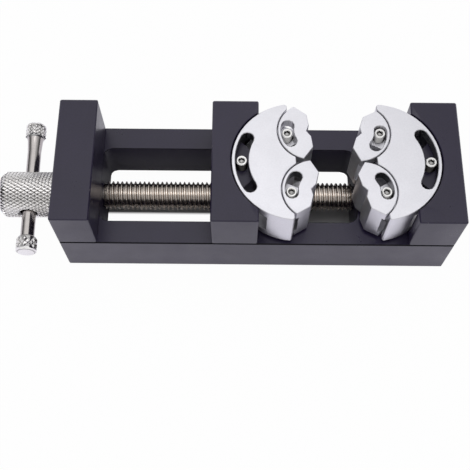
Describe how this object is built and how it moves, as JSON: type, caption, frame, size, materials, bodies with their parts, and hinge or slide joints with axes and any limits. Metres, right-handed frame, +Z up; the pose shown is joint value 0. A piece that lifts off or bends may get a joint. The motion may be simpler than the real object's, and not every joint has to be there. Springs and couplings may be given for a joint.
{
  "type": "mini drill press vise",
  "caption": "Small screw vise for a drill press: a sliding block closes swivelling crescents, each with its own pivoting jaws, round an uneven workpiece.",
  "frame": {"origin": "on the underside, below the swivel axis of the fixed crescent", "axes": "+X along the lead screw, from the knob to the fixed block; +Z up, away from the surface that the vise stands on; +Y to the rear rail"},
  "size_m": [0.124, 0.0397, 0.0304],
  "materials": {
    "black_anodised": "black anodised, semi-gloss",
    "silver_anodised": "clear anodised, satin",
    "nickel_plate": "nickel plated, knurled",
    "bright_steel": "bright stainless",
    "bronze": "plain bronze"
  },
  "bodies": {
    "base": {"base_frame": "black_anodised", "screw_end_block": "black_anodised", "fixed_block": "black_anodised", "end_block_screw_rear": "bright_steel", "end_block_screw_front": "bright_steel", "fixed_block_screw_rear": "bright_steel", "fixed_block_screw_front": "bright_steel", "thrust_washer": "bronze", "fixed_crescent_stop_screw": "bright_steel"},
    "screw": {"lead_screw": "bright_steel", "handle_knob": "nickel_plate", "knob_grub_screw": "bright_steel"},
    "bar": {"tommy_bar": "nickel_plate", "tommy_bar_cap": "nickel_plate"},
    "carriage": {"moving_block": "black_anodised", "keeper_plate": "bright_steel", "keeper_screw_rear": "bright_steel", "keeper_screw_front": "bright_steel", "moving_crescent_stop_screw": "bright_steel"},
    "crescent_m": {"moving_crescent": "silver_anodised", "moving_rear_stop_screw": "bright_steel", "moving_front_stop_screw": "bright_steel"},
    "crescent_f": {"fixed_crescent": "silver_anodised", "fixed_rear_stop_screw": "bright_steel", "fixed_front_stop_screw": "bright_steel"},
    "jaw_m_rear": {"moving_rear_jaw": "silver_anodised"},
    "jaw_m_front": {"moving_front_jaw": "silver_anodised"},
    "jaw_f_rear": {"fixed_rear_jaw": "silver_anodised"},
    "jaw_f_front": {"fixed_front_jaw": "silver_anodised"}
  },
  "joints": [
    {"name": "screw_turn", "type": "hinge", "parent": "base", "child": "screw", "pos_m": [-0.0983, 0, 0.008], "axis": [-1, 0, 0], "range_deg": [-8700, 2470]},
    {"name": "carriage_slide", "type": "slide", "parent": "base", "child": "carriage", "axis": [1, 0, 0], "range_m": [-0.03, 0.00844]},
    {"name": "bar_slide", "type": "slide", "parent": "screw", "child": "bar", "axis": [-0.0244, 0.9997, 0], "range_m": [-0.0109, 0.0063]},
    {"name": "moving_crescent_swivel", "type": "hinge", "parent": "carriage", "child": "crescent_m", "pos_m": [-0.0205, 0, 0.0234], "axis": [0, 0, 1], "range_deg": [-32, 26]},
    {"name": "fixed_crescent_swivel", "type": "hinge", "parent": "base", "child": "crescent_f", "pos_m": [0, 0, 0.0234], "axis": [0, 0, 1], "range_deg": [-32, 26]},
    {"name": "moving_rear_jaw_swivel", "type": "hinge", "parent": "crescent_m", "child": "jaw_m_rear", "pos_m": [-0.01695, 0.0087, 0.0234], "axis": [0, 0, 1], "range_deg": [-28, 16]},
    {"name": "moving_front_jaw_swivel", "type": "hinge", "parent": "crescent_m", "child": "jaw_m_front", "pos_m": [-0.01606, -0.00828, 0.0234], "axis": [0, 0, 1], "range_deg": [-5.5, 38.5]},
    {"name": "fixed_rear_jaw_swivel", "type": "hinge", "parent": "crescent_f", "child": "jaw_f_rear", "pos_m": [-0.00444, 0.00828, 0.0234], "axis": [0, 0, 1], "range_deg": [-1.2, 42.8]},
    {"name": "fixed_front_jaw_swivel", "type": "hinge", "parent": "crescent_f", "child": "jaw_f_front", "pos_m": [-0.00355, -0.0087, 0.0234], "axis": [0, 0, 1], "range_deg": [-36.1, 7.9]}
  ],
  "couplings": [
    {"joint": "screw_turn", "follows": "carriage_slide", "rad_per_m": 5026.5}
  ]
}
